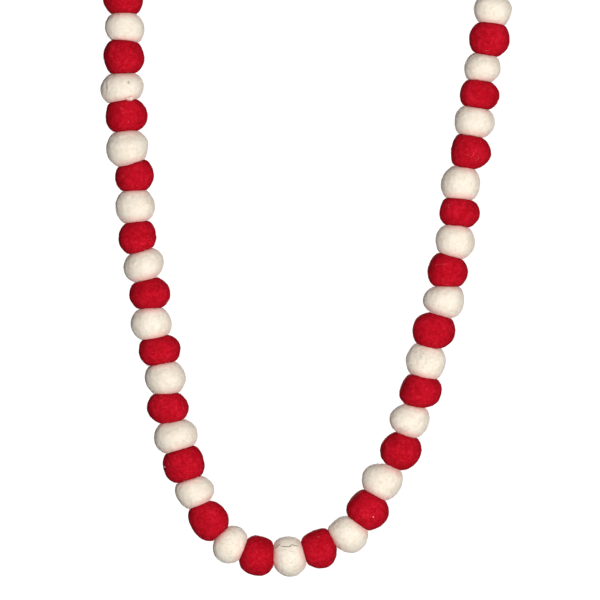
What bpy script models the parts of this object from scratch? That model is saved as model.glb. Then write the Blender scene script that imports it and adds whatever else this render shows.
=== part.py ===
"""Felt ball garland that hangs in a deep U from the loops at its two ends.

Wet-felted wool balls, red and cream in turn, sit tight on one cotton string that runs straight
through their middles. Each end of the string is knotted above its last ball, and the cord goes on
from the knot as a hanging loop. Metres, +Z up. X runs along the garland's width, and it is seen
from -Y. The origin is where a hook bears on the left loop, inside its top.
"""

import math
from typing import NamedTuple

import bmesh
import bpy
from mathutils import Matrix, Vector
from mathutils.geometry import interpolate_bezier

MM = 0.001

# Driving dimensions, in millimetres
GAP = 0.3                 # between touching pieces
STRING_WIDTH = 1.5
CHANNEL_WIDTH = 2.4       # the hole that the needle leaves in a ball
LOOP_WIDTH = 10.0         # each hanging loop, between the middles of its two legs
KNOT_HEIGHT = 4.8
KNOT_WIDTH = 4.6
KNOT_FACE = 3.4           # the knot's flattened top and underside
END_FACE = 7.0            # the flat round the hole on an end ball, which no neighbour presses
DEPTH_SWAY = 0.7          # how far a ball sits in front of or behind the string's plane

# How a soft body is out of round
LUMP = 0.009              # the depth of its lumps, as a share of its radius
SWAY_STEP = 2.4           # the turn of the depth sway from one ball to the next, in radians
SHOULDER = 2.0            # the roundness of a plain shoulder: 2 is an ellipse

# How finely the pieces are drawn
BALL_SIDES = 18
KNOT_SIDES = 10
BALL_STATIONS = (-1.0, -0.74, -0.38, 0.0, 0.38, 0.74, 1.0)
KNOT_STATIONS = (-1.0, -0.6, 0.0, 0.6, 1.0)
ROUTE_STEPS = 24          # short steps between two places on the route
LEG_STEPS = 5
ARCH_STEPS = 6
CREASE = 45.0             # degrees between two faces from which the edge is sharp

FRONT = Vector((0.0, -1.0, 0.0))


class Place(NamedTuple):
    """A point on the string's route, in millimetres: x to the right, z up."""

    x: float
    z: float


class Ball(NamedTuple):
    """One ball, with the seam where it presses on the next ball. Millimetres and degrees."""

    along: float   # its length on the string
    across: float  # its width square to the string
    out: float     # how far its middle bulges past the string, towards the U's outside
    seam: float    # width of the seam after it
    slide: float   # how far that seam's middle lies past the string, towards the U's outside
    tilt: float    # the seam's turn in the picture's plane, anticlockwise, from square
    lean: float    # how far the seam's front edge leads along the string, as an angle
    full: float    # 2 is a round shoulder, and more is a squarer one


class Lobe(NamedTuple):
    """One wave of lumps round a body."""

    waves: int     # how many lumps go round
    share: float   # their depth, as a share of the full depth
    step: float    # how far they turn from one body to the next, in radians


class Seam(NamedTuple):
    """A flat that cuts across the string."""

    at: Vector      # where the string goes through it
    normal: Vector  # along the string
    width: float
    slide: Vector   # from the string to the flat's own middle


class Form(NamedTuple):
    """How a threaded body swells between its two flats, in millimetres."""

    across: float
    out: float
    sway: float    # how far its middle sits in front of the string's plane
    full: float
    number: int    # its place on the string, which sets where its lumps lie
    sides: int
    stations: tuple


LOBES = (
    Lobe(2, 1.0, 1.7),
    Lobe(3, 0.6, 2.9),
)

# The string's middle line, from above the first ball, round the bottom, to above the last
ROUTE = (
    Place(0.2, -36.1),
    Place(1.1, -93.0),
    Place(5.0, -148.8),
    Place(11.9, -203.8),
    Place(21.3, -257.8),
    Place(31.9, -310.6),
    Place(41.6, -346.6),
    Place(49.2, -363.0),
    Place(61.3, -380.8),
    Place(75.8, -390.4),
    Place(94.4, -394.4),
    Place(113.8, -392.6),
    Place(131.6, -385.6),
    Place(146.6, -373.6),
    Place(158.6, -357.2),
    Place(168.2, -338.8),
    Place(177.6, -319.4),
    Place(189.4, -282.8),
    Place(203.1, -226.4),
    Place(211.9, -171.6),
    Place(221.9, -114.6),
    Place(233.0, -44.2),
)

# From the top of the left strand, round the bottom, to the top of the right strand
BALLS = (
    Ball(20.2, 24.8, 0.0, 15.6, -0.4, -1, -3, 2.0),
    Ball(17.0, 24.9, -0.9, 17.5, -0.9, -7, -3, 2.0),
    Ball(20.3, 26.4, 0.0, 16.2, 0.8, -0.5, 2, 2.0),
    Ball(17.1, 27.2, 1.8, 18.4, 1.7, 5.5, -2, 2.1),
    Ball(19.1, 25.9, 0.3, 15.4, 1.1, -1.5, -1, 2.1),
    Ball(19.9, 27.2, 1.1, 17.6, -0.8, 10.5, 7, 2.0),
    Ball(17.4, 24.9, -1.3, 15.2, -0.4, -4.5, 1, 2.0),
    Ball(19.6, 24.5, 0.1, 15.0, 0.6, -0.5, 1, 2.0),
    Ball(18.3, 23.8, 1.6, 15.4, 0.7, 8, 5, 2.1),
    Ball(18.2, 26.4, 0.1, 15.2, 0.4, 3.5, 3, 2.0),
    Ball(18.3, 26.1, -0.5, 15.3, 0.7, -6.5, 0, 2.0),
    Ball(18.1, 25.4, 1.9, 17.0, 1.2, 1, 5, 2.0),
    Ball(17.1, 26.6, -0.3, 17.0, -0.5, -1, 1, 2.0),
    Ball(18.9, 26.1, -0.4, 16.4, 1.0, -9.5, 1, 2.0),
    Ball(17.7, 26.0, 1.7, 15.0, 1.1, -2.5, 5, 2.0),
    Ball(18.2, 27.3, 1.0, 18.4, 0.5, 1.5, 0, 2.0),
    Ball(19.7, 26.2, 0.6, 16.4, 0.3, -3.5, 0, 2.6),
    Ball(17.1, 24.6, 0.1, 14.5, 1.0, -7.5, 0, 2.0),
    Ball(22.3, 23.6, 1.2, 12.8, 0.1, 0, 0, 2.2),
    Ball(17.1, 24.4, 2.5, 15.2, 0.8, 0, 2, 2.0),
    Ball(19.3, 25.0, 2.6, 14.7, -0.2, 4, 0, 2.8),
    Ball(19.0, 25.6, 1.9, 15.2, 0.0, 2, 0, 2.1),
    Ball(20.1, 24.2, 1.9, 13.2, -1.8, -3, 0, 2.1),
    Ball(18.4, 24.4, 2.7, 16.1, 0.9, 8, 0, 2.0),
    Ball(20.9, 26.6, 1.3, 16.0, -1.1, 4, -2, 2.1),
    Ball(20.5, 25.4, -1.4, 10.4, 0.9, 2, 0, 2.0),
    Ball(22.0, 25.2, 0.9, 13.5, -0.3, 6.5, -6, 2.0),
    Ball(19.2, 25.2, -1.6, 13.8, -1.1, 7.5, -7, 2.0),
    Ball(19.0, 26.1, -0.3, 17.6, -1.0, 4, -4, 2.5),
    Ball(19.4, 24.7, -2.3, 15.9, -3.1, 2, -9, 2.0),
    Ball(20.2, 26.8, -2.4, 14.3, -0.4, -4, -2, 2.0),
    Ball(18.6, 26.2, -0.5, 16.4, -0.5, 10, -2, 2.3),
    Ball(19.0, 25.7, -1.5, 15.6, -1.7, -7.5, -2, 2.1),
    Ball(19.1, 24.4, 0.3, 15.2, -0.2, 1.5, 2, 2.0),
    Ball(17.1, 25.3, 0.1, 17.2, -1.6, 4, 1, 2.2),
    Ball(20.0, 25.1, -2.1, 14.0, -1.6, 0, -4, 2.0),
    Ball(20.1, 25.4, 0.8, 16.0, -1.2, 0, -1, 2.0),
    Ball(17.9, 25.1, -0.2, 16.3, -0.6, 0.5, -3, 2.0),
    Ball(17.0, 25.0, 0.1, 15.0, -1.6, 2.5, 1, 2.2),
    Ball(16.6, 23.1, -0.9, 14.8, -0.3, -1.5, -3, 2.0),
    Ball(19.7, 25.3, 0.7, 16.2, 0.3, 1.5, 1, 2.1),
    Ball(18.4, 23.8, -0.2, END_FACE, 0.0, 0, 0, 2.0),
)


def smooth_line(places):
    """Return close points on one smooth curve through the given points."""
    last = len(places) - 1
    ways = [(places[min(i + 1, last)] - places[max(i - 1, 0)]).normalized() for i in range(last + 1)]
    line = []
    for i in range(last):
        start, end = places[i], places[i + 1]
        reach = (end - start).length / 3
        handles = (start + ways[i] * reach, end - ways[i + 1] * reach)
        line.extend(interpolate_bezier(start, *handles, end, ROUTE_STEPS)[:-1])
    line.append(places[last])
    return line


def points_at(line, distances):
    """Return the points at the given distances along a line of close points."""
    found = []
    walked = 0.0
    index = 0
    for distance in distances:
        while index < len(line) - 2 and walked + (line[index + 1] - line[index]).length < distance:
            walked += (line[index + 1] - line[index]).length
            index += 1
        step = line[index + 1] - line[index]
        found.append(line[index] + step * min(1.0, (distance - walked) / step.length))
    return found


def string_seats():
    """Return the points where the string leaves one ball and enters the next, ends included."""
    line = smooth_line([Vector((place.x, 0.0, place.z)) * MM for place in ROUTE])
    whole = sum((b - a).length for a, b in zip(line, line[1:]))
    packed = sum(ball.along for ball in BALLS)
    distances = [0.0]
    for ball in BALLS:
        distances.append(distances[-1] + whole * ball.along / packed)
    return points_at(line, distances)


def seams_between(seats):
    """Return one seam for each seat, turned, leaned and slid as the table says."""
    last = len(seats) - 1
    found = [Seam(seats[0], (seats[1] - seats[0]).normalized(), END_FACE * MM, Vector())]
    for i, ball in enumerate(BALLS, start=1):
        way = (seats[min(i + 1, last)] - seats[i - 1]).normalized()
        way = Matrix.Rotation(math.radians(ball.tilt), 3, FRONT) @ way
        lean = math.radians(ball.lean)
        normal = (way * math.cos(lean) - FRONT * math.sin(lean)).normalized()
        found.append(Seam(seats[i], normal, ball.seam * MM, inward_on(normal) * -ball.slide * MM))
    return found


def inward_on(normal):
    """Return the way on a flat that points inwards of the U."""
    return FRONT.cross(normal).normalized()


def ring_frame(centre, normal, radius):
    """Return the matrix that puts a unit circle on a flat: x inwards of the U, y to the front."""
    inward = inward_on(normal)
    turn = Matrix((inward, normal.cross(inward), normal)).transposed().to_4x4()
    return Matrix.Translation(centre) @ turn @ Matrix.Scale(radius, 4)


def girth(station, form, start, end):
    """Return a body's radius at a station from -1 to 1, full at 0 and a seam's at each end."""
    middle = form.across / 2 * MM
    edge = (start if station < 0 else end).width / 2
    drop = abs(station) ** form.full * (middle**form.full - edge**form.full)
    return (middle**form.full - drop) ** (1 / form.full)


def draw_ring(bm, ring, placed, target):
    """Extrude a ring of edges and move the new ring from its old frame to a new one."""
    drawn = bmesh.ops.extrude_edge_only(bm, edges=ring)["geom"]
    verts = [item for item in drawn if isinstance(item, bmesh.types.BMVert)]
    edges = [item for item in drawn if isinstance(item, bmesh.types.BMEdge)]
    bmesh.ops.transform(bm, matrix=target @ placed.inverted(), verts=verts)
    return edges, target, verts


def press_lumps(verts, centre, depth, number):
    """Move one ring of a body in and out in shallow lumps round its centre."""
    for vert in verts:
        spoke = vert.co - centre
        around = math.atan2(spoke.dot(FRONT), spoke.x + spoke.z)
        lump = sum(lobe.share * math.sin(lobe.waves * around + lobe.step * number) for lobe in LOBES)
        vert.co += spoke * depth * lump


def threaded_body(name, start, end, form, material):
    """Model a soft body with the string's channel through it, between two flats.

    A ring is drawn out from the channel's mouth over the body's bulged side to the other mouth,
    and the channel joins the two mouths.
    """
    half_gap = GAP / 2 * MM
    mouth = CHANNEL_WIDTH / 2 * MM
    head = start.at + start.normal * half_gap
    foot = end.at - end.normal * half_gap
    way = (end.at - start.at).normalized()
    bm = bmesh.new()
    bmesh.ops.create_circle(bm, segments=form.sides, radius=1.0)
    placed = ring_frame(head, start.normal, mouth)
    bmesh.ops.transform(bm, matrix=placed, verts=bm.verts)
    first = ring = bm.edges[:]
    for station in form.stations:
        share = (station + 1) / 2
        normal = start.normal.lerp(end.normal, share).normalized()
        swell = 1 - station * station
        inward = inward_on(normal)
        bulge = (way.cross(inward) * form.sway - inward * form.out) * MM
        centre = head.lerp(foot, share) + start.slide.lerp(end.slide, share).lerp(bulge, swell)
        target = ring_frame(centre, normal, girth(station, form, start, end))
        ring, placed, verts = draw_ring(bm, ring, placed, target)
        press_lumps(verts, centre, LUMP * swell, form.number)
    ring, placed, _ = draw_ring(bm, ring, placed, ring_frame(foot, end.normal, mouth))
    bmesh.ops.bridge_loops(bm, edges=first + ring)
    bmesh.ops.recalc_face_normals(bm, faces=bm.faces)
    mesh = bpy.data.meshes.new(name)
    bm.to_mesh(mesh)
    bm.free()
    mesh.shade_smooth()
    mesh.set_sharp_from_angle(angle=math.radians(CREASE))
    mesh.materials.append(material)
    bpy.context.scene.collection.objects.link(bpy.data.objects.new(name, mesh))


def loop_points(knot_top, up, side):
    """Return a hanging loop's points, from the knot up one leg, over the top and down the other.

    The loop goes on the way that the string pulls, until its inside top is level with the
    origin. side is +1 where the second leg lies to the right of the first, and -1 to the left.
    """
    radius = LOOP_WIDTH / 2 * MM
    apart = (STRING_WIDTH + GAP) / 2 * MM
    across = Vector((up.z, 0.0, -up.x)) * side
    foot = knot_top + up * GAP * MM + across * apart
    leg = -foot.z / up.z + STRING_WIDTH / 2 * MM - radius
    right, left = [], []
    for step in range(LEG_STEPS + 1):
        share = step / LEG_STEPS
        spread = apart + (radius - apart) * share * share * (3 - 2 * share)
        left.append(foot - across * spread + up * leg * share)
        right.append(foot + across * spread + up * leg * share)
    arch = []
    for step in range(1, ARCH_STEPS):
        angle = math.pi * step / ARCH_STEPS
        turn = up * math.sin(angle) - across * math.cos(angle)
        arch.append(foot + up * leg + turn * radius)
    return [*left, *arch, *reversed(right)]


def cord_along(name, points, material):
    """Model a length of the cord as one tube with closed ends."""
    curve = bpy.data.curves.new(name, "CURVE")
    curve.dimensions = "3D"
    curve.bevel_depth = STRING_WIDTH / 2 * MM
    curve.bevel_resolution = 2
    curve.use_fill_caps = True
    spline = curve.splines.new("POLY")
    spline.points.add(len(points) - 1)
    for point, place in zip(spline.points, points):
        point.co = (*place, 1.0)
    curve.materials.append(material)
    bpy.context.scene.collection.objects.link(bpy.data.objects.new(name, curve))


def knot_on(name, seat, up, side, material):
    """Model the knot that closes a loop, just beyond the ball at the given seat.

    Its body leans over to the side where the loop's second leg ends. The middle of its top is
    returned.
    """
    near = Seam(seat, up, KNOT_FACE * MM, Vector())
    far = Seam(seat + up * KNOT_HEIGHT * MM, up, KNOT_FACE * MM, Vector())
    out = -side * inward_on(up).x * (STRING_WIDTH + GAP) / 2
    form = Form(KNOT_WIDTH, out, 0.0, SHOULDER, 0, KNOT_SIDES, KNOT_STATIONS)
    threaded_body(name, near, far, form, material)
    return far.at - up * GAP / 2 * MM


def finish(name, colour, roughness):
    """Return a plain material of the given linear colour."""
    material = bpy.data.materials.new(name)
    material.use_nodes = True
    shader = material.node_tree.nodes["Principled BSDF"]
    shader.inputs["Base Color"].default_value = (*colour, 1.0)
    shader.inputs["Roughness"].default_value = roughness
    shader.inputs["Metallic"].default_value = 0.0
    return material


def clear_scene():
    """Remove every object that the file starts with."""
    for item in list(bpy.data.objects):
        bpy.data.objects.remove(item, do_unlink=True)


def build():
    """Model every ball, then the knots, the string and the two hanging loops."""
    clear_scene()
    red = finish("red_felt", (0.49, 0.008, 0.02), 0.95)
    cream = finish("cream_felt", (0.85, 0.76, 0.63), 0.95)
    cotton = finish("cotton_string", (0.78, 0.72, 0.62), 0.9)

    seats = string_seats()
    seams = seams_between(seats)
    for number, ball in enumerate(BALLS, start=1):
        colour, wool = ("red", red) if number % 2 else ("cream", cream)
        sway = DEPTH_SWAY * math.sin(SWAY_STEP * number)
        form = Form(ball.across, ball.out, sway, ball.full, number, BALL_SIDES, BALL_STATIONS)
        threaded_body(f"ball_{number:02d}_{colour}", seams[number - 1], seams[number], form, wool)

    up_left, up_right = -seams[0].normal, seams[-1].normal
    left_top = knot_on("knot_left", seats[0], up_left, 1, cotton)
    right_top = knot_on("knot_right", seats[-1], up_right, -1, cotton)
    cord_along("string", [left_top, *seats, right_top], cotton)
    cord_along("loop_left", loop_points(left_top, up_left, 1), cotton)
    cord_along("loop_right", loop_points(right_top, up_right, -1), cotton)


build()
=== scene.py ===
"""Red and cream felt ball garland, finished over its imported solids.

Each solid ball gives one ball its place and its shape, and is worked over here into felted wool
with a haze of stray fibres. The string, the knots and the two hanging loops are laid up from
strands of cotton. Metres, +Z up, seen from -Y.
"""

import logging
import math
import random
from collections.abc import Iterable, Sequence
from dataclasses import dataclass, field
from enum import Enum
from typing import NamedTuple

import bmesh
import bpy
from mathutils import Matrix, Vector, noise
from mathutils.bvhtree import BVHTree
from mathutils.geometry import interpolate_bezier


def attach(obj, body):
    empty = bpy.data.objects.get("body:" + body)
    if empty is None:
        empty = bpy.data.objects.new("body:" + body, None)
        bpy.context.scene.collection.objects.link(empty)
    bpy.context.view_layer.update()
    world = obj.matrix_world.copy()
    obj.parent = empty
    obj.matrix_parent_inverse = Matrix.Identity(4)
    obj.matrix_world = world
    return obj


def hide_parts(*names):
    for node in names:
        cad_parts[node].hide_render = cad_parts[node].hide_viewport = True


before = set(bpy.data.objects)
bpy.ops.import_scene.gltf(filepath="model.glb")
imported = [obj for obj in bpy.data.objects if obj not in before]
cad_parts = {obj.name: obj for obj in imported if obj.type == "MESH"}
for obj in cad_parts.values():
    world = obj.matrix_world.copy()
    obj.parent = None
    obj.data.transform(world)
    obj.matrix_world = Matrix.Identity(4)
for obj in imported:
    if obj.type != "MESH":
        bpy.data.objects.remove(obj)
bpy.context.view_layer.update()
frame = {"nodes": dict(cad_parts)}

LOG = logging.getLogger("garland")
BODY = "root"
MM = 0.001
UP = Vector((0.0, 0.0, 1.0))
FRONT = Vector((0.0, -1.0, 0.0))
# The felt's colour is painted with shade near each seam from this value: darker on the red, pinker on the
# cream as painted red bounce light with some stray red fibres.
SEAM = "seam"  # how near a point on a ball is to a seam, from 0 to 1
Colour = tuple[float, float, float, float]
WHITE = (1.0, 1.0, 1.0, 1.0)


# Shader values and node boards


class Wire:
    """A shader value that can stand in a sum."""

    def __init__(self, board: "Board", socket: bpy.types.NodeSocket) -> None:
        """Keep the socket and the board that it is on."""
        self.board = board
        self.socket = socket

    def __add__(self, other: "Wire | float") -> "Wire":
        """Add two values."""
        return self.board.sum("ADD", self, other)

    def __radd__(self, other: float) -> "Wire":
        """Add a number on the left."""
        return self.board.sum("ADD", other, self)

    def __sub__(self, other: "Wire | float") -> "Wire":
        """Subtract a value."""
        return self.board.sum("SUBTRACT", self, other)

    def __rsub__(self, other: float) -> "Wire":
        """Subtract from a number."""
        return self.board.sum("SUBTRACT", other, self)

    def __mul__(self, other: "Wire | float") -> "Wire":
        """Multiply two values."""
        return self.board.sum("MULTIPLY", self, other)

    def __rmul__(self, other: float) -> "Wire":
        """Multiply by a number on the left."""
        return self.board.sum("MULTIPLY", other, self)


class Board:
    """One node tree, filled a node at a time."""

    COLOUR_INPUTS = (6, 7)
    COLOUR_RESULT = 2

    def __init__(self, tree: bpy.types.NodeTree) -> None:
        """Keep the tree."""
        self.tree = tree

    def node(
        self,
        kind: str,
        settings: dict[str, object],
        inputs: dict[str | int, object],
        outlet: str | int = 0,
    ) -> Wire:
        """Add a node.

        Args:
            kind: the node's type.
            settings: its properties, set before its inputs. "stops" are a ramp's places and colours.
            inputs: a number, colour or wire for each named or numbered input.
            outlet: the output that is wanted.

        Returns:
            The wire from that output.
        """
        made = self.tree.nodes.new(kind)
        for name, value in settings.items():
            if name == "stops":
                self._set_stops(made.color_ramp.elements, value)
            else:
                setattr(made, name, value)
        self.feed(made, inputs)
        return Wire(self, made.outputs[outlet])

    def feed(self, made: bpy.types.Node, inputs: dict[str | int, object]) -> None:
        """Give a node its inputs.

        Args:
            made: the node.
            inputs: a number, colour or wire for each named or numbered input.
        """
        for name, value in inputs.items():
            if isinstance(value, Wire):
                self.tree.links.new(value.socket, made.inputs[name])
            else:
                made.inputs[name].default_value = value

    def sum(self, operation: str, left: Wire | float, right: Wire | float) -> Wire:
        """Add one Math node.

        Args:
            operation: what it does.
            left: its first value.
            right: its second value.

        Returns:
            The wire from it.
        """
        return self.node("ShaderNodeMath", {"operation": operation}, {0: left, 1: right})

    def between(self, value: Wire, low: float, high: float) -> Wire:
        """Ease a value from 0 at low to 1 at high.

        Args:
            value: the wire to ease.
            low: where the result is 0.
            high: where the result is 1.

        Returns:
            The eased wire.
        """
        settings = {"interpolation_type": "SMOOTHSTEP"}
        return self.node("ShaderNodeMapRange", settings, {"Value": value, "From Min": low, "From Max": high})

    def blend(self, share: Wire, first: Wire | Colour, second: Wire | Colour) -> Wire:
        """Mix two colours.

        Args:
            share: how much of the second shows.
            first: the colour at 0.
            second: the colour at 1.

        Returns:
            The mixed colour.
        """
        a, b = self.COLOUR_INPUTS
        settings = {"data_type": "RGBA"}
        return self.node("ShaderNodeMix", settings, {0: share, a: first, b: second}, self.COLOUR_RESULT)

    def vector(self, operation: str, first: Wire, second: Wire | tuple[float, float, float]) -> Wire:
        """Add one Vector Math node.

        Args:
            operation: what it does.
            first: its first vector.
            second: its second vector.

        Returns:
            The wire from it.
        """
        return self.node("ShaderNodeVectorMath", {"operation": operation}, {0: first, 1: second})

    def grain(self, place: Wire, per_metre: float, detail: float, stretch: float = 0.0) -> Wire:
        """Add a noise whose size is given in waves to the metre.

        Args:
            place: the coordinates.
            per_metre: how many waves go to a metre.
            detail: how many finer layers it has.
            stretch: how much the noise is distorted.

        Returns:
            The noise from 0 to 1.
        """
        inputs = {"Vector": place, "Scale": per_metre, "Detail": detail, "Distortion": stretch}
        return self.node("ShaderNodeTexNoise", {}, inputs)

    @staticmethod
    def _set_stops(elements: bpy.types.bpy_prop_collection, stops: Sequence[tuple[float, Colour]]) -> None:
        """Give a ramp its stops.

        Args:
            elements: the ramp's own stops.
            stops: the place and colour of each.
        """
        while len(elements) < len(stops):
            elements.new(1.0)
        for element, (place, colour) in zip(elements, stops):
            element.position = place
            element.color = colour


# Finishes


@dataclass(frozen=True)
class FeltFinish:
    """Wet-felted wool: matted fibres that wander every way, with soft light and dark streaks.

    The lengths are in metres and the colours are linear.
    """

    name: str
    slot: str
    deep: Colour
    middle: Colour
    pale: Colour
    stray: Colour
    stray_share: float
    sheen: float
    sheen_tint: Colour
    # Painted shade near the seams between balls: its colour, and how strongly it shows there.
    seam_shade_and_fibres: Colour
    seam_shade_and_fibres_share: float
    streak_length: float = 0.0045
    streak_width: float = 0.0009
    swirls_a_metre: float = 110.0
    swirl_reach: float = 0.016
    clouds_a_metre: float = 95.0
    mats_a_metre: float = 420.0
    hairs_a_metre: float = 3400.0
    relief: float = 0.0005
    specular: float = 0.06
    sheen_roughness: float = 0.55

    def material(self) -> bpy.types.Material:
        """Build the felt's material."""
        made = bpy.data.materials.new(self.name)
        made.use_nodes = True
        board = Board(made.node_tree)
        place = board.node("ShaderNodeTexCoord", {}, {}, "Object")
        inputs = {"Vector": place, "Scale": self.swirls_a_metre, "Detail": 1.0}
        swirl = board.node("ShaderNodeTexNoise", {}, inputs, "Color")
        swirl = board.vector("SUBTRACT", swirl, (0.5, 0.5, 0.5))
        swirl = board.vector("MULTIPLY", swirl, (self.swirl_reach,) * 3)
        bent = board.vector("ADD", place, swirl)
        squeeze = self.streak_width / self.streak_length
        per_metre = 1 / self.streak_width
        upright = board.grain(board.vector("MULTIPLY", bent, (1.0, 1.0, squeeze)), per_metre, 3.0, 0.4)
        level = board.grain(board.vector("MULTIPLY", bent, (squeeze, 1.0, 1.0)), per_metre, 3.0, 0.4)
        slant = board.grain(board.vector("MULTIPLY", bent, (0.7, squeeze, 0.7)), per_metre, 3.0, 0.4)
        matting = board.grain(place, self.mats_a_metre, 2.0)
        cloud = board.grain(place, self.clouds_a_metre, 1.0)
        pile = board.grain(place, self.hairs_a_metre, 2.0)
        streaks = upright * 0.34 + level * 0.34 + slant * 0.32
        tone = streaks * 0.6 + matting * 0.25 + cloud * 0.15
        stops = ((0.40, self.deep), (0.5, self.middle), (0.60, self.pale))
        felt = board.node("ShaderNodeValToRGB", {"stops": stops}, {"Fac": tone})
        crossing = board.vector("MULTIPLY", bent, (squeeze, squeeze, 1.0))
        strand = board.grain(crossing, per_metre * 2.2, 1.0, 0.6)
        stray = board.between(strand, 0.66, 0.74) * self.stray_share
        # Painted shade near the seams: the red darkens towards each neighbour, and the cream turns pink as
        # painted bounce light from the red, with some red fibres carried over.
        seam = board.node("ShaderNodeAttribute", {"attribute_name": SEAM}, {}, "Fac")
        seam_shade_and_fibres_mask = seam * (0.55 + cloud * 0.45) * self.seam_shade_and_fibres_share
        colour = board.blend(seam_shade_and_fibres_mask, board.blend(stray, felt, self.stray), self.seam_shade_and_fibres)
        height = streaks * 0.6 + pile * 0.22 + matting * 0.5
        bump = board.node("ShaderNodeBump", {}, {"Strength": 1.0, "Distance": self.relief, "Height": height})
        values = {
            "Base Color": colour,
            "Roughness": 0.78 + pile * 0.2,
            "Normal": bump,
            "Metallic": 0.0,
            "Specular IOR Level": self.specular,
            "Sheen Weight": self.sheen,
            "Sheen Roughness": self.sheen_roughness,
            "Sheen Tint": self.sheen_tint,
        }
        board.feed(made.node_tree.nodes["Principled BSDF"], values)
        return made


@dataclass(frozen=True)
class FibreFinish:
    """Loose fibres: thin matte threads, some darker than others."""

    name: str
    dark: Colour
    light: Colour
    sheen: float = 0.0
    roughness: float = 0.85
    specular: float = 0.06
    shades_a_metre: float = 260.0

    def material(self) -> bpy.types.Material:
        """Build the fibres' material."""
        made = bpy.data.materials.new(self.name)
        made.use_nodes = True
        board = Board(made.node_tree)
        place = board.node("ShaderNodeTexCoord", {}, {}, "Object")
        tuft = board.grain(place, self.shades_a_metre, 1.0)
        colour = board.blend(board.between(tuft, 0.35, 0.65), self.dark, self.light)
        values = {
            "Base Color": colour,
            "Roughness": self.roughness,
            "Specular IOR Level": self.specular,
            "Sheen Weight": self.sheen,
        }
        board.feed(made.node_tree.nodes["Principled BSDF"], values)
        return made


@dataclass(frozen=True)
class CottonFinish:
    """Unbleached cotton: fine fibres along the strands, a little darker in their grooves."""

    name: str
    groove: Colour
    body: Colour
    relief: float = 0.00006
    fibres_a_metre: float = 5200.0
    patches_a_metre: float = 700.0
    specular: float = 0.2
    sheen: float = 0.25

    def material(self) -> bpy.types.Material:
        """Build the cotton's material."""
        made = bpy.data.materials.new(self.name)
        made.use_nodes = True
        board = Board(made.node_tree)
        place = board.node("ShaderNodeTexCoord", {}, {}, "Object")
        stretched = board.vector("MULTIPLY", place, (1.0, 1.0, 0.3))
        along = board.grain(stretched, self.fibres_a_metre, 2.0)
        patch = board.grain(place, self.patches_a_metre, 2.0)
        tone = board.between(along * 0.6 + patch * 0.4, 0.36, 0.62)
        bump = board.node("ShaderNodeBump", {}, {"Strength": 0.9, "Distance": self.relief, "Height": along})
        values = {
            "Base Color": board.blend(tone, self.groove, self.body),
            "Roughness": 0.72 + along * 0.22,
            "Normal": bump,
            "Specular IOR Level": self.specular,
            "Sheen Weight": self.sheen,
        }
        board.feed(made.node_tree.nodes["Principled BSDF"], values)
        return made


class Wool(Enum):
    """The two wools that the balls are felted from."""

    RED = FeltFinish(
        "red_wool_felt", "red_felt",
        deep=(0.38, 0.0012, 0.007, 1.0), middle=(0.50, 0.0034, 0.015, 1.0), pale=(0.64, 0.010, 0.030, 1.0),
        stray=(0.74, 0.07, 0.10, 1.0), stray_share=0.4, sheen=0.02, sheen_tint=(0.64, 0.010, 0.030, 1.0),
        # The seam colour here is painted shade, darker than the felt.
        seam_shade_and_fibres=(0.30, 0.0016, 0.008, 1.0), seam_shade_and_fibres_share=0.4,
    )
    CREAM = FeltFinish(
        "cream_wool_felt", "cream_felt",
        deep=(0.83, 0.73, 0.60, 1.0), middle=(0.935, 0.85, 0.73, 1.0), pale=(0.985, 0.93, 0.83, 1.0),
        stray=(0.58, 0.48, 0.39, 1.0), stray_share=0.3, sheen=0.45, sheen_tint=(1.0, 0.92, 0.90, 1.0),
        # The pink seam colour here is painted red bounce light, with some stray red fibres.
        seam_shade_and_fibres=(0.88, 0.40, 0.36, 1.0), seam_shade_and_fibres_share=0.75,
    )


class Tone(Enum):
    """The colours of loose fibres."""

    RED = FibreFinish("red_fibres", (0.50, 0.004, 0.014, 1.0), (0.68, 0.014, 0.034, 1.0))
    BLUSH = FibreFinish("blush_fibres", (0.96, 0.66, 0.62, 1.0), (1.0, 0.86, 0.80, 1.0), sheen=0.5)
    PINK = FibreFinish("pink_fibres", (0.66, 0.07, 0.10, 1.0), (0.80, 0.20, 0.22, 1.0))
    CREAM = FibreFinish("cream_fibres", (0.86, 0.77, 0.64, 1.0), (0.95, 0.90, 0.80, 1.0))
    DARK = FibreFinish("dark_fibres", (0.07, 0.055, 0.03, 1.0), (0.16, 0.125, 0.075, 1.0))
    GREY = FibreFinish("grey_fibres", (0.30, 0.27, 0.24, 1.0), (0.48, 0.44, 0.40, 1.0))


COTTON = CottonFinish("cotton_cord", (0.56, 0.49, 0.39, 1.0), (0.82, 0.76, 0.66, 1.0))


class Stock:
    """The materials, each built once."""

    def __init__(self) -> None:
        """Start with none."""
        self._built: dict[str, bpy.types.Material] = {}

    def of(self, finish: FeltFinish | FibreFinish | CottonFinish) -> bpy.types.Material:
        """Return a finish's material."""
        if finish.name not in self._built:
            self._built[finish.name] = finish.material()
        return self._built[finish.name]


STOCK = Stock()


# Small makers


def add_piece(
    name: str, mesh: bpy.types.Mesh, material: bpy.types.Material, nodes: Sequence[str] = ()
) -> bpy.types.Object:
    """Put a finished mesh in the scene as a piece of the garland.

    Args:
        name: the piece's name.
        mesh: its mesh, already in place.
        material: what it is made of.
        nodes: the solids that it stands for.

    Returns:
        The piece.
    """
    mesh.materials.clear()
    mesh.materials.append(material)
    piece = bpy.data.objects.new(name, mesh)
    bpy.context.scene.collection.objects.link(piece)
    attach(piece, BODY)
    if nodes:
        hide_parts(*nodes)
    return piece


def note(piece: bpy.types.Object) -> None:
    """Log a piece's name and how many faces it has."""
    LOG.info("%s: %d faces", piece.name, len(piece.data.polygons))


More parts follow.
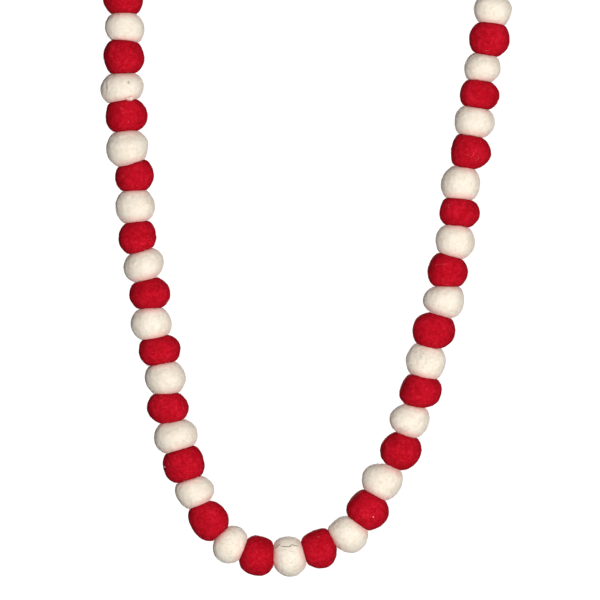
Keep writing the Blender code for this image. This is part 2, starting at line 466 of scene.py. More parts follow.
def threads_mesh(name: str, lines: Iterable[Sequence[Vector]], width: float, round_steps: int = 0,
                 tip: float = 1.0) -> bpy.types.Mesh:
    """Draw round threads along lines and make them one mesh.

    Args:
        name: the mesh's name.
        lines: each thread's points.
        width: the threads' width.
        round_steps: how round they are: 0 has four sides, and each step adds two.
        tip: the width at a thread's ends, as a share of the width.

    Returns:
        The mesh, with closed ends.
    """
    curve = bpy.data.curves.new(name, "CURVE")
    curve.dimensions = "3D"
    curve.bevel_depth = width / 2
    curve.bevel_resolution = round_steps
    curve.use_fill_caps = True
    for line in lines:
        spline = curve.splines.new("POLY")
        spline.points.add(len(line) - 1)
        for point, place in zip(spline.points, line):
            point.co = (*place, 1.0)
        spline.points[0].radius = tip
        spline.points[-1].radius = tip
    holder = bpy.data.objects.new(name, curve)
    mesh = bpy.data.meshes.new_from_object(holder)
    bpy.data.objects.remove(holder)
    bpy.data.curves.remove(curve)
    mesh.name = name
    mesh.shade_smooth()
    return mesh


def smooth_line(places: Sequence[Vector], steps: int) -> list[Vector]:
    """Return close points on one smooth curve.

    Args:
        places: the points that it goes through.
        steps: how many short steps lie between two of them.

    Returns:
        The points, both ends included.
    """
    last = len(places) - 1
    ways = [(places[min(i + 1, last)] - places[max(i - 1, 0)]).normalized() for i in range(last + 1)]
    line: list[Vector] = []
    for i in range(last):
        start, end = places[i], places[i + 1]
        reach = (end - start).length / 3
        handles = (start + ways[i] * reach, end - ways[i + 1] * reach)
        line.extend(interpolate_bezier(start, *handles, end, steps + 1)[:-1])
    line.append(places[last])
    return line


def evenly(line: Sequence[Vector], spacing: float) -> list[Vector]:
    """Return points at even steps along a line.

    Args:
        line: close points.
        spacing: about how long a step is.

    Returns:
        The points, both ends included.
    """
    whole = sum((b - a).length for a, b in zip(line, line[1:]))
    count = max(2, round(whole / spacing))
    found = [line[0].copy()]
    walked = 0.0
    for a, b in zip(line, line[1:]):
        long = (b - a).length
        while len(found) < count and walked + long >= whole * len(found) / count:
            found.append(a.lerp(b, (whole * len(found) / count - walked) / long))
        walked += long
    found.append(line[-1].copy())
    return found


# The cord


@dataclass
class Cord:
    """A three-strand cotton cord, laid up along a line."""

    width: float = 0.0015
    lay: float = 0.0048
    strands: int = 3
    steps_a_turn: int = 12
    round_steps: int = 1
    strand_offset: float = 0.25  # from the cord's middle, as a share of its width
    strand_width: float = 0.54   # as a share of the cord's width

    def strand_lines(self, path: Sequence[Vector], closed: bool = False) -> list[list[Vector]]:
        """Wind the strands round a path.

        Args:
            path: the cord's middle line.
            closed: whether the path comes back to its start.

        Returns:
            One line of points for each strand.
        """
        middle = evenly(path, self.lay / self.steps_a_turn)
        offset = self.width * self.strand_offset
        side = (middle[1] - middle[0]).cross(FRONT + UP * 0.3).normalized()
        lines: list[list[Vector]] = [[] for _ in range(self.strands)]
        turns = 2 * math.pi / self.steps_a_turn
        last = len(middle) - 1
        for i, point in enumerate(middle):
            ahead = middle[1] if closed and i == last else middle[min(i + 1, last)]
            behind = middle[last - 1] if closed and i == 0 else middle[max(i - 1, 0)]
            way = (ahead - behind).normalized()
            side = (side - way * side.dot(way)).normalized()
            across = way.cross(side)
            for k, line in enumerate(lines):
                angle = i * turns + 2 * math.pi * k / self.strands
                line.append(point + (side * math.cos(angle) + across * math.sin(angle)) * offset)
        return lines

    def mesh(self, name: str, path: Sequence[Vector]) -> bpy.types.Mesh:
        """Lay the cord up along a path.

        Args:
            name: the mesh's name.
            path: the cord's middle line.

        Returns:
            The mesh of its strands.
        """
        return threads_mesh(name, self.strand_lines(path), self.width * self.strand_width, self.round_steps)


class End(NamedTuple):
    """One end of the garland, in millimetres: where its knot starts, its lean and its open side."""

    name: str
    x: float
    z: float
    lean: float
    side: int


@dataclass
class GarlandEnd:
    """A knot on the string above an end ball, and the hanging loop that goes on from it."""

    end: End
    cord: Cord
    knot_height: float = 0.0048
    knot_width: float = 0.0046
    gap: float = 0.0003
    loop_width: float = 0.010
    loop_spacing: float = 0.0008
    leg_shares: tuple[float, ...] = (0.0, 0.2, 0.4, 0.6, 0.8, 1.0)
    arch_angles: tuple[int, ...] = (30, 60, 90, 120, 150)
    tuck: float = 0.0016
    drawn: float = 0.92  # a knot's drawn-in cord, as a share of the cord's width
    knot_steps: int = 72
    tail: float = 0.0052
    whiskers: int = 14
    whisker_width: float = 0.00012
    up: Vector = field(init=False)
    across: Vector = field(init=False)
    seat: Vector = field(init=False)

    def __post_init__(self) -> None:
        """Work out the end's own directions."""
        lean = math.radians(self.end.lean)
        self.up = Vector((math.sin(lean), 0.0, math.cos(lean)))
        self.across = Vector((self.up.z, 0.0, -self.up.x)) * self.end.side
        self.seat = Vector((self.end.x, 0.0, self.end.z)) * MM

    def loop_line(self) -> list[Vector]:
        """Return the loop's middle line, from inside the knot up, over the top and back."""
        radius = self.loop_width / 2
        apart = (self.cord.width + self.gap) / 2
        foot = self.seat + self.up * (self.knot_height + self.gap / 2) + self.across * apart
        root = foot - self.up * self.tuck
        leg = -foot.z / self.up.z + self.cord.width / 2 - radius
        first, second = [], []
        for share in self.leg_shares:
            spread = apart + (radius - apart) * share * share * (3 - 2 * share)
            first.append(foot - self.across * spread + self.up * leg * share)
            second.append(foot + self.across * spread + self.up * leg * share)
        arch = []
        for angle in self.arch_angles:
            turn = self.up * math.sin(math.radians(angle)) - self.across * math.cos(math.radians(angle))
            arch.append(foot + self.up * leg + turn * radius)
        drawn_in = self.across * apart * 0.6
        return smooth_line([root - drawn_in, *first, *arch, *reversed(second), root + drawn_in], 6)

    def loop(self) -> bpy.types.Object:
        """Build the hanging loop."""
        line = evenly(self.loop_line(), self.loop_spacing)
        name = f"loop_{self.end.name}"
        mesh = self.cord.mesh(f"cord_{name}", line)
        piece = add_piece(f"cord_{name}", mesh, STOCK.of(COTTON), (name,))
        long = sum((b - a).length for a, b in zip(line, line[1:]))
        return piece

    def knot_line(self) -> list[Vector]:
        """Return the middle line of a tight overhand knot round the string."""
        thick = self.cord.width * self.drawn
        outer = (self.knot_width - thick) / 2
        ring, wave = outer * 0.64, outer * 0.36
        rise = (self.knot_height - thick) / 2
        middle = self.seat + self.up * (self.knot_height / 2 + self.gap / 4) + self.across * 0.0003
        line = []
        for step in range(self.knot_steps + 1):
            angle = 2 * math.pi * step / self.knot_steps
            out = ring + wave * math.cos(3 * angle)
            flat = self.across * math.cos(2 * angle) + FRONT * math.sin(2 * angle)
            line.append(middle + flat * out + self.up * rise * math.sin(3 * angle))
        return line

    def tail_line(self) -> list[Vector]:
        """Return the middle line of the cord's short cut end."""
        start = self.seat + self.up * self.knot_height * 0.55 + self.across * self.knot_width * 0.3
        aim = (self.across * 0.75 + FRONT * 0.45 - self.up * 0.15).normalized()
        mid = start + aim * self.tail * 0.55
        tip = mid + (aim - UP * 0.5).normalized() * self.tail * 0.5
        return smooth_line([start, mid, tip], 6)

    def knot(self) -> bpy.types.Object:
        """Build the knot with its cut end."""
        tight = Cord(width=self.cord.width * self.drawn, lay=0.0040, steps_a_turn=10)
        tail = self.tail_line()
        lines = tight.strand_lines(self.knot_line(), closed=True) + tight.strand_lines(tail)
        rng = random.Random(self.end.name)
        whisk = []
        aim = (tail[-1] - tail[-2]).normalized()
        for _ in range(self.whiskers):
            spread = Vector((rng.gauss(0, 0.4), rng.gauss(0, 0.4), rng.gauss(0, 0.4)))
            root = tail[-1] - aim * 0.0006 + spread * 0.0008
            tip = root + (aim + spread).normalized() * rng.uniform(0.0010, 0.0020)
            whisk.append([root, root.lerp(tip, 0.5) - UP * 0.0001, tip - UP * 0.0003])
        name = f"knot_{self.end.name}"
        body = bmesh.new()
        body.from_mesh(threads_mesh(name, lines, tight.width * tight.strand_width, 1))
        body.from_mesh(threads_mesh(name, whisk, self.whisker_width))
        mesh = bpy.data.meshes.new(f"cord_{name}")
        body.to_mesh(mesh)
        body.free()
        mesh.shade_smooth()
        return add_piece(f"cord_{name}", mesh, STOCK.of(COTTON), (name,))


# The string's middle line, in millimetres (x, z), from above the first ball to above the last
STRING_ROUTE = (
    (0.2, -36.1), (1.1, -93.0), (5.0, -148.8), (11.9, -203.8), (21.3, -257.8), (31.9, -310.6),
    (41.6, -346.6), (49.2, -363.0), (61.3, -380.8), (75.8, -390.4), (94.4, -394.4), (113.8, -392.6),
    (131.6, -385.6), (146.6, -373.6), (158.6, -357.2), (168.2, -338.8), (177.6, -319.4),
    (189.4, -282.8), (203.1, -226.4), (211.9, -171.6), (221.9, -114.6), (233.0, -44.2),
)

ENDS = (
    End("left", 0.2, -36.1, -0.56, 1),
    End("right", 233.0, -44.2, 8.88, -1),
)


def build_string(ends: Sequence[GarlandEnd]) -> bpy.types.Object:
    """Lay up the string from knot to knot, through every ball.

    Args:
        ends: the left end and the right end.

    Returns:
        The string.
    """
    left, right = ends
    places = [Vector((x, 0.0, z)) * MM for x, z in STRING_ROUTE]
    places.insert(0, left.seat + left.up * (left.knot_height - left.gap / 2))
    places.append(right.seat + right.up * (right.knot_height - right.gap / 2))
    cord = Cord(steps_a_turn=8, round_steps=0)
    mesh = cord.mesh("cord_string", smooth_line(places, 16))
    return add_piece("cord_string", mesh, STOCK.of(COTTON), ("string",))


# The balls


class Press(NamedTuple):
    """A dimple or crease on one ball's front, in millimetres: its middle, half width and depth."""

    ball: int
    x: float
    z: float
    wide: float
    tall: float
    deep: float


# Dimples and creases that show from the front
PRESSES = (
    Press(4, 4.3, -99.1, 0.75, 0.9, 0.95),
    Press(4, -10.3, -102.6, 1.0, 5.2, 0.32),
    Press(4, -12.7, -102.4, 2.4, 6.0, 0.42),
    Press(22, 105.8, -398.6, 0.7, 0.6, 0.6),
    Press(28, 175.0, -318.0, 2.4, 2.0, 0.30),
    Press(33, 199.0, -213.6, 4.0, 0.7, 0.22),
    Press(37, 217.8, -144.6, 3.4, 0.6, 0.25),
)


@dataclass
class FeltBall:
    """One felted wool ball, grown from its solid. Lengths are in metres."""

    node: bpy.types.Object
    number: int
    wool: Wool
    fineness: int = 5
    smoothing: int = 8
    swell: float = 0.00014
    lump: float = 0.00022
    lump_size: float = 0.0075
    pucker: float = 0.00015
    pucker_size: float = 0.0028
    crease: float = 0.0010
    crease_size: float = 0.011
    crease_width: float = 0.14
    mouth_depth: float = 0.0009
    mouth_width: float = 0.0019
    press_reach: float = 2.4
    press_cuts: int = 2
    presses: tuple[Press, ...] = ()
    mouth: Vector | None = None
    near: tuple[Vector, ...] = ()
    # Where the painted seam shade begins, as a share of the way to a neighbour.
    seam_shade_start: float = 0.52
    surface: BVHTree = field(init=False)
    centre: Vector = field(init=False)

    def felt(self) -> bpy.types.Object:
        """Build the ball from its solid: an even mesh, rounded, then worked into felt."""
        solid = bmesh.new()
        solid.from_mesh(self.node.data)
        bmesh.ops.remove_doubles(solid, verts=solid.verts, dist=1e-6)
        bmesh.ops.delete(solid, geom=solid.faces[:], context="FACES_ONLY")
        bmesh.ops.convex_hull(solid, input=solid.verts)
        hull = BVHTree.FromBMesh(solid)
        self.centre = sum((vert.co for vert in solid.verts), Vector()) / len(solid.verts)
        solid.free()
        ball = bmesh.new()
        start = Matrix.Translation(self.centre)
        bmesh.ops.create_icosphere(ball, subdivisions=self.fineness, radius=0.01, matrix=start)
        for vert in ball.verts:
            vert.co = hull.ray_cast(self.centre, vert.co - self.centre)[0]
        self._round(ball)
        for press in self.presses:
            self._refine(ball, press)
        self._work(ball)
        self._mark_seams(ball)
        bmesh.ops.recalc_face_normals(ball, faces=ball.faces)
        self.surface = BVHTree.FromBMesh(ball)
        name = f"wool_{self.node.name}"
        mesh = bpy.data.meshes.new(name)
        ball.to_mesh(mesh)
        ball.free()
        mesh.shade_smooth()
        finish = self.wool.value
        return add_piece(name, mesh, STOCK.of(finish), (self.node.name,))

    def _round(self, ball: bmesh.types.BMesh) -> None:
        """Round the solid's flats and edges, and put back what that takes off the ball's shape.

        Args:
            ball: the even mesh on the solid's surface.
        """
        self._smooth(ball)
        once = [vert.co.copy() for vert in ball.verts]
        self._smooth(ball)
        for vert, place in zip(ball.verts, once):
            vert.co = place * 2 - vert.co
        ball.normal_update()

    def _smooth(self, ball: bmesh.types.BMesh) -> None:
        """Smooth the mesh a few times over.

        Args:
            ball: the mesh.
        """
        for _ in range(self.smoothing):
            bmesh.ops.smooth_vert(
                ball, verts=ball.verts, factor=0.5, use_axis_x=True, use_axis_y=True, use_axis_z=True
            )

    def _refine(self, ball: bmesh.types.BMesh, press: Press) -> None:
        """Make the mesh finer where a dimple is to be pressed.

        Args:
            ball: the rounded mesh.
            press: the dimple.
        """
        near = {
            vert for vert in ball.verts
            if vert.normal.y < 0
            and abs(vert.co.x / MM - press.x) < press.wide * self.press_reach
            and abs(vert.co.z / MM - press.z) < press.tall * self.press_reach
        }
        edges = [edge for edge in ball.edges if near.issuperset(edge.verts)]
        bmesh.ops.subdivide_edges(ball, edges=edges, cuts=self.press_cuts, use_grid_fill=True)
        bmesh.ops.triangulate(ball, faces=[face for face in ball.faces if len(face.verts) > 3])
        ball.normal_update()

    def _work(self, ball: bmesh.types.BMesh) -> None:
        """Press the felt's lumps, puckers and dimples into the ball.

        Args:
            ball: the rounded mesh.
        """
        shift = Vector((self.number * 3.7, 0.0, 0.0))
        for vert in ball.verts:
            lump = noise.noise(vert.co / self.lump_size + shift) * self.lump
            pucker = noise.noise(vert.co / self.pucker_size + shift) * self.pucker
            ridge = abs(noise.noise(vert.co / self.crease_size - shift))
            crease = max(0.0, self.crease_width - ridge) * -self.crease
            rise = self.swell + lump + pucker + crease - self._pressed(vert.co, vert.normal)
            vert.co += vert.normal * rise

    def _mark_seams(self, ball: bmesh.types.BMesh) -> None:
        """Write on the mesh how near each point is to a neighbour's seam, where the felt's colour is painted
        with shade.

        Args:
            ball: the finished mesh.
        """
        layer = ball.verts.layers.float.new(SEAM)
        for other in self.near:
            way = (other - self.centre).normalized()
            reach = max((vert.co - self.centre).dot(way) for vert in ball.verts)
            for vert in ball.verts:
                share = (vert.co - self.centre).dot(way) / reach
                closeness = min(1.0, max(0.0, (share - self.seam_shade_start) / (1 - self.seam_shade_start)))
                vert[layer] = max(vert[layer], closeness * closeness * (3 - 2 * closeness))

    def _pressed(self, place: Vector, normal: Vector) -> float:
        """Return how deep a point is pressed in by the ball's dimples and the string's mouth.

        Args:
            place: the point.
            normal: which way the surface faces there.

        Returns:
            The depth, in metres.
        """
        deep = 0.0
        for press in self.presses:
            if normal.y < 0:
                u = (place.x / MM - press.x) / press.wide
                v = (place.z / MM - press.z) / press.tall
                deep += press.deep * MM * math.exp(-(u * u + v * v))
        if self.mouth is not None:
            away = (place - self.mouth).length / self.mouth_width
            deep += self.mouth_depth * math.exp(-away * away)
        return deep


@dataclass
class Haze:
    """The stray fibres that stand off a ball's felt. Lengths are in metres."""

    count: int = 340
    steps: int = 4
    width: float = 0.00006
    shortest: float = 0.0022
    longest: float = 0.0062
    lift: float = 0.00042
    loose: float = 0.28
    root: float = 0.0001  # how deep a fibre starts in the felt
    tip: float = 0.5      # its width at the ends, as a share of its width

    def lines(self, ball: "FeltBall | Fluff") -> list[list[Vector]]:
        """Lay the fibres over one ball.

        Args:
            ball: the ball or lump that they come from.

        Returns:
            One line of points for each fibre.
        """
        rng = random.Random(1000 + ball.number)
        return [self._fibre(ball, rng) for _ in range(self.count)]

    def _fibre(self, ball: "FeltBall | Fluff", rng: random.Random) -> list[Vector]:
        """Lay one fibre: it leaves the felt, runs along it and dips back, or ends in the air.

        Args:
            ball: the ball or lump that it comes from.
            rng: where its chances come from.

        Returns:
            The fibre's points.
        """
        away = Vector((rng.gauss(0, 1), rng.gauss(0, 1), rng.gauss(0, 1))).normalized()
        place, normal = ball.surface.ray_cast(ball.centre, away)[:2]
        heading = normal.cross(Vector((rng.gauss(0, 1), rng.gauss(0, 1), rng.gauss(0, 1)))).normalized()
        long = rng.uniform(self.shortest, self.longest)
        turn = rng.gauss(0, 0.35)
        lift = self.lift * rng.uniform(0.4, 1.3)
        loose = rng.random() < self.loose
        line = []
        for step in range(self.steps + 1):
            share = step / self.steps
            height = lift * 4 * share * (1 - share) - self.root
            if loose:
                height = lift * 2.6 * share * share - self.root
            line.append(place + normal * height)
            heading = Matrix.Rotation(turn, 3, normal) @ heading
            place, normal = ball.surface.find_nearest(place + heading * long / self.steps)[:2]
        return line


class Wisp(NamedTuple):
    """A hair or thread on one ball's front: its line (x, z) and its sizes in millimetres."""

    name: str
    ball: int
    tone: Tone
    width: float
    lift: float
    line: tuple[tuple[float, float], ...]


# Single hairs and threads that show from the front, and one grey line of painted crease shade
WISPS = (
    Wisp("hair_on_22", 22, Tone.DARK, 0.38, 0.24, ((95.2, -390.1), (96.8, -388.8), (98.6, -387.2))),
    Wisp("long_hair_on_22", 22, Tone.DARK, 0.36, 0.24,
         ((97.6, -388.0), (101.4, -388.5), (104.3, -388.6), (105.7, -387.5), (107.4, -387.9),
          (109.9, -388.4))),
    # A thin grey line along a fine crease on ball 22: painted shade of the crease.
    Wisp("thread_on_22", 22, Tone.GREY, 0.12, 0.12,
         ((96.4, -392.2), (98.6, -390.8), (102.2, -390.3), (105.4, -391.4), (108.6, -391.2))),
    Wisp("thread_on_33", 33, Tone.PINK, 0.12, 0.12,
         ((192.6, -214.8), (196.0, -213.0), (199.6, -212.7), (203.4, -212.6))),
    Wisp("low_thread_on_33", 33, Tone.PINK, 0.12, 0.12,
         ((200.6, -226.2), (202.0, -225.3), (203.6, -225.8))),
    Wisp("thread_on_35", 35, Tone.PINK, 0.14, 0.14,
         ((203.8, -174.9), (203.2, -176.4), (203.4, -177.9))),
    Wisp("left_curl_on_37", 37, Tone.PINK, 0.13, 0.14,
         ((213.4, -143.0), (214.2, -144.9), (215.4, -144.3), (216.0, -145.6))),
    Wisp("middle_curl_on_37", 37, Tone.PINK, 0.13, 0.14,
         ((218.4, -142.4), (219.0, -144.0), (218.2, -145.3), (217.2, -146.2))),
    Wisp("right_curl_on_37", 37, Tone.PINK, 0.13, 0.14,
         ((219.6, -148.0), (221.0, -148.0), (222.0, -146.6), (221.8, -145.0))),
    Wisp("thread_on_41", 41, Tone.PINK, 0.12, 0.14,
         ((225.9, -80.6), (227.2, -79.6), (229.0, -79.9))),
)


class Tuft(NamedTuple):
    """Loose fibres in one patch on a ball's front, from lint to specks, and dark fibres laid in a dimple as
    its painted shade. Millimetres.
    """

    name: str
    ball: int
    tone: Tone
    x: float
    z: float
    wide: float   # how far the fibres lie to either side of the middle
    tall: float   # and above and below it
    long: float   # a fibre's length
    rise: float   # how far its middle stands off the felt
    width: float  # its thickness
    count: int


TUFTS = (
    # fleck_on_4 is dark grey fibres laid in the dimple on ball 4: painted shade of the dimple.
    Tuft("fleck_on_4", 4, Tone.GREY, 4.3, -99.2, 0.5, 0.6, 0.8, 0.03, 0.06, 50),
    Tuft("lint_on_15", 15, Tone.PINK, 23.6, -294.6, 1.0, 0.7, 1.0, 0.12, 0.10, 7),
    Tuft("lint_on_17", 17, Tone.BLUSH, 26.6, -339.2, 0.2, 0.2, 0.7, 0.2, 0.06, 30),
    # fleck_on_22 is dark grey fibres laid in the dimple on ball 22: painted shade of the dimple.
    Tuft("fleck_on_22", 22, Tone.GREY, 105.5, -398.6, 0.5, 0.4, 0.7, 0.03, 0.07, 22),
    Tuft("lint_on_23", 23, Tone.PINK, 122.2, -382.6, 1.3, 0.5, 1.0, 0.12, 0.10, 8),
    Tuft("lint_on_25", 25, Tone.BLUSH, 156.5, -369.8, 0.2, 0.2, 0.7, 0.2, 0.06, 30),
    Tuft("specks_on_28", 28, Tone.GREY, 174.6, -316.4, 3.4, 2.8, 0.9, 0.06, 0.09, 34),
    Tuft("specks_on_30", 30, Tone.GREY, 187.6, -271.0, 4.6, 6.4, 1.0, 0.07, 0.09, 84),
    Tuft("specks_on_32", 32, Tone.GREY, 192.4, -227.4, 4.2, 4.0, 0.8, 0.06, 0.08, 22),
    Tuft("specks_on_4", 4, Tone.GREY, 1.4, -97.4, 6.0, 3.2, 0.8, 0.05, 0.08, 22),
)


@dataclass
class Fluff:
    """A soft lump of loose wool that is caught in front of a seam. Lengths are in metres."""

    name: str
    number: int
    tone: Tone
    slot: str
    centre: Vector
    half_sizes: Vector
    fineness: int = 3
    lump: float = 0.0007
    lump_size: float = 0.0016
    surface: BVHTree = field(init=False)

    def build(self) -> bpy.types.Object:
        """Build the lump with the fibres that stand off it."""
        body = bmesh.new()
        bmesh.ops.create_icosphere(body, subdivisions=self.fineness, radius=1.0)
        for vert in body.verts:
            away = vert.co.copy()
            vert.co = self.centre + away * self.half_sizes
            vert.co += away * noise.noise(vert.co / self.lump_size) * self.lump
        self.surface = BVHTree.FromBMesh(body)
        haze = Haze(count=110, width=0.00008, shortest=0.0008, longest=0.0020, lift=0.00035, loose=0.5)
        body.from_mesh(threads_mesh(self.name, haze.lines(self), haze.width, tip=haze.tip))
        mesh = bpy.data.meshes.new(self.name)
        body.to_mesh(mesh)
        body.free()
        mesh.shade_smooth()
        return add_piece(self.name, mesh, STOCK.of(self.tone.value))


@dataclass
class LooseWool:
    """The hairs, threads and tufts that lie on single balls."""

    balls: dict[int, FeltBall]
    curl: float = 0.12
    scatter: float = 0.55
    aim_from: float = 0.05     # how far in front of the garland a ball's front is looked for
    aim_again: float = 0.04    # and how far back from there, where that line misses the ball

    def front_of(self, ball: FeltBall, x: float, z: float) -> tuple[Vector, Vector]:
        """Find the front of a ball.

        Args:
            ball: the ball.
            x: how far to the right, in millimetres.
            z: how far up, in millimetres.

        Returns:
            The place on its felt and the way that it faces.
        """
        start = Vector((x * MM, -self.aim_from, z * MM))
        place, normal = ball.surface.ray_cast(start, -FRONT)[:2]
        if place is None:
            place, normal = ball.surface.find_nearest(start - FRONT * self.aim_again)[:2]
        return place, normal

    def wisp(self, row: Wisp) -> bpy.types.Object:
        """Lay one hair or thread on its ball.

        Args:
            row: what it is and where it lies.

        Returns:
            The piece.
        """
        ball = self.balls[row.ball]
        line = []
        for x, z in row.line:
            place, normal = self.front_of(ball, x, z)
            line.append(place + normal * row.lift * MM)
        line[0] -= self.front_of(ball, *row.line[0])[1] * row.lift * 1.6 * MM
        mesh = threads_mesh(row.name, [smooth_line(line, 5)], row.width * MM, 1, 0.4)
        return add_piece(row.name, mesh, STOCK.of(row.tone.value))

    def tuft(self, row: Tuft) -> bpy.types.Object:
        """Scatter one patch of loose fibres on its ball.

        Args:
            row: what they are and where they lie.

        Returns:
            The piece.
        """
        ball = self.balls[row.ball]
        rng = random.Random(row.name)
        lines = []
        for _ in range(row.count):
            x = row.x + rng.gauss(0, self.scatter) * row.wide
            z = row.z + rng.gauss(0, self.scatter) * row.tall
            place, normal = self.front_of(ball, x, z)
            way = Vector((rng.gauss(0, 1), rng.gauss(0, 1), rng.gauss(0, 0.8)))
            way = (way - normal * way.dot(normal)).normalized() * row.long * rng.uniform(0.5, 1.1) * MM
            rise = normal * row.rise * rng.uniform(0.4, 1.2) * MM
            line = [place - way / 2]
            for share in (-0.3, 0.0, 0.3):
                curl = Vector((rng.gauss(0, 1), rng.gauss(0, 1), rng.gauss(0, 1))) * way.length * self.curl
                line.append(place + way * share + rise + curl)
            lines.append([*line, place + way / 2])
        mesh = threads_mesh(row.name, lines, row.width * MM, tip=0.5)
        return add_piece(row.name, mesh, STOCK.of(row.tone.value))


# The stretches of balls that each have one piece of haze, by their numbers
STRETCHES = (
    ("left", range(1, 15)),
    ("bottom", range(15, 29)),
    ("right", range(29, 43)),
)


@dataclass
class BallStrand:
    """All the balls on the string, with their fibres."""

    haze: Haze = field(default_factory=Haze)
    balls: dict[int, FeltBall] = field(default_factory=dict)

    def build(self, nodes: dict[str, bpy.types.Object], ends: Sequence[GarlandEnd]) -> None:
        """Build every ball, then the haze of each wool.

        Args:
            nodes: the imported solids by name.
            ends: the left end and the right end, whose knots sit on the end balls.
        """
        names = sorted(name for name in nodes if name.startswith("ball_"))
        mouths = {1: ends[0].seat, len(names): ends[1].seat}
        middles = [self._middle(nodes[name]) for name in names]
        for number, name in enumerate(names, start=1):
            wool = Wool.RED if name.endswith("red") else Wool.CREAM
            presses = tuple(press for press in PRESSES if press.ball == number)
            near = tuple(middles[max(number - 2, 0):number - 1] + middles[number:number + 1])
            ball = FeltBall(nodes[name], number, wool, presses=presses, mouth=mouths.get(number), near=near)
            piece = ball.felt()
            self.balls[number] = ball
            note(piece)
        for wool, tone in ((Wool.RED, Tone.RED), (Wool.CREAM, Tone.CREAM)):
            self._add_haze(wool, tone)

    @staticmethod
    def _middle(node: bpy.types.Object) -> Vector:
        """Return the middle of a solid's box."""
        corners = [Vector(corner) for corner in node.bound_box]
        return sum(corners, Vector()) / len(corners)

    def _add_haze(self, wool: Wool, tone: Tone) -> None:
        """Add the stray fibres of one wool, strand by strand.

        Args:
            wool: the balls' wool.
            tone: the fibres' colour.
        """
        for part, numbers in STRETCHES:
            lines: list[list[Vector]] = []
            for number in numbers:
                if self.balls[number].wool is wool:
                    lines.extend(self.haze.lines(self.balls[number]))
            name = f"haze_{tone.name.lower()}_{part}"
            mesh = threads_mesh(name, lines, self.haze.width, tip=self.haze.tip)
            piece = add_piece(name, mesh, STOCK.of(tone.value))
            note(piece)


# The studio


class SoftLight(NamedTuple):
    """A round soft light: the way it lies from the garland, metres and watts."""

    name: str
    way: tuple[float, float, float]
    distance: float
    size: float
    power: float


LIGHTS = (
    SoftLight("key", (0.2, -0.975, -0.06), 2.2, 0.7, 49.0),
    SoftLight("back", (-0.15, 0.97, 0.18), 2.2, 0.9, 34.0),
)


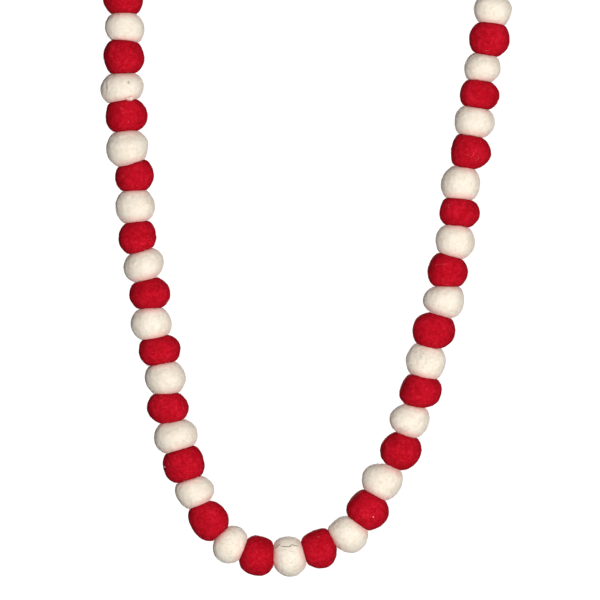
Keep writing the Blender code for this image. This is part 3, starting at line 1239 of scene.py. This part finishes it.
@dataclass
class Studio:
    """The camera, the soft lights, the pale floor and the white surround."""

    target: Vector = field(default_factory=lambda: Vector((0.1109, 0.0, -0.235)))
    frame_width: float = 0.375
    lens: float = 240.0
    sensor: float = 36.0
    floor_height: float = -0.75
    floor_size: float = 12.0
    surround: float = 0.08
    backdrop: float = 1.15
    floor_paint: Colour = (0.3, 0.3, 0.295, 1.0)
    floor_glow: float = 1.5
    floor_glow_share: float = 0.8
    light_colour: tuple[float, float, float] = (1.0, 0.985, 0.96)

    def add_camera(self) -> bpy.types.Object:
        """Set the camera straight in front, as in the photo, with the photo's framing."""
        distance = self.frame_width * self.lens / self.sensor
        data = bpy.data.cameras.new("camera")
        data.lens = self.lens
        data.sensor_width = self.sensor
        camera = bpy.data.objects.new("camera", data)
        camera.location = self.target + FRONT * distance
        camera.rotation_euler = (-FRONT).to_track_quat("-Z", "Y").to_euler()
        bpy.context.scene.collection.objects.link(camera)
        bpy.context.scene.camera = camera
        return camera

    def add_light(self, light: SoftLight) -> bpy.types.Object:
        """Add one soft light, aimed at the garland.

        Args:
            light: its place, size and power.

        Returns:
            The light.
        """
        way = Vector(light.way).normalized()
        data = bpy.data.lights.new(light.name, "AREA")
        data.shape = "DISK"
        data.size = light.size
        data.energy = light.power
        data.color = self.light_colour
        lamp = bpy.data.objects.new(light.name, data)
        lamp.location = self.target + way * light.distance
        lamp.rotation_euler = (-way).to_track_quat("-Z", "Y").to_euler()
        lamp.visible_camera = False
        bpy.context.scene.collection.objects.link(lamp)
        return lamp

    def add_surround(self) -> bpy.types.World:
        """Surround the scene with even white light."""
        world = bpy.data.worlds.new("surround")
        world.use_nodes = True
        board = Board(world.node_tree)
        seen = board.node("ShaderNodeLightPath", {}, {}, "Is Camera Ray")
        strength = self.surround + seen * (self.backdrop - self.surround)
        background = world.node_tree.nodes["Background"]
        board.feed(background, {"Color": WHITE, "Strength": strength})
        bpy.context.scene.world = world
        return world

    def add_floor(self) -> bpy.types.Object:
        """Lay the plain pale floor well below the lowest ball."""
        sheet = bmesh.new()
        place = Matrix.Translation((self.target.x, 0.0, self.floor_height))
        bmesh.ops.create_grid(sheet, x_segments=1, y_segments=1, size=self.floor_size / 2, matrix=place)
        mesh = bpy.data.meshes.new("floor")
        sheet.to_mesh(mesh)
        sheet.free()
        material = bpy.data.materials.new("pale_floor")
        material.use_nodes = True
        tree = material.node_tree
        board = Board(tree)
        seen = board.node("ShaderNodeLightPath", {}, {}, "Is Camera Ray")
        paint = board.node("ShaderNodeBsdfDiffuse", {}, {"Color": self.floor_paint})
        glow = board.node("ShaderNodeEmission", {}, {"Color": WHITE, "Strength": self.floor_glow})
        mixed = board.node("ShaderNodeMixShader", {}, {0: seen * self.floor_glow_share, 1: paint, 2: glow})
        tree.links.new(mixed.socket, tree.nodes["Material Output"].inputs["Surface"])
        mesh.materials.append(material)
        floor = bpy.data.objects.new("floor", mesh)
        bpy.context.scene.collection.objects.link(floor)
        return floor

    def build(self) -> None:
        """Build the studio and keep the photo's plain contrast."""
        self.add_camera()
        for light in LIGHTS:
            self.add_light(light)
        self.add_surround()
        self.add_floor()
        bpy.context.scene.view_settings.view_transform = "Standard"


def main() -> None:
    """Build the studio, the cord, the balls and the loose wool, and log how many faces each piece has."""
    Studio().build()
    cord = Cord()
    ends = [GarlandEnd(end, cord) for end in ENDS]
    for end in ends:
        for piece in (end.loop(), end.knot()):
            note(piece)
    piece = build_string(ends)
    note(piece)
    strand = BallStrand()
    strand.build(frame["nodes"], ends)
    loose = LooseWool(strand.balls)
    fluff = Fluff(
        "fluff_on_4", 4, Tone.BLUSH, Wool.CREAM.value.slot,
        centre=Vector((5.1, -11.0, -109.5)) * MM, half_sizes=Vector((2.3, 1.2, 1.1)) * MM,
    )
    pieces = [fluff.build()] + [loose.wisp(row) for row in WISPS] + [loose.tuft(row) for row in TUFTS]
    for piece in pieces:
        note(piece)


if __name__ == "__main__":
    logging.basicConfig(level=logging.INFO, format="%(message)s")
    main()
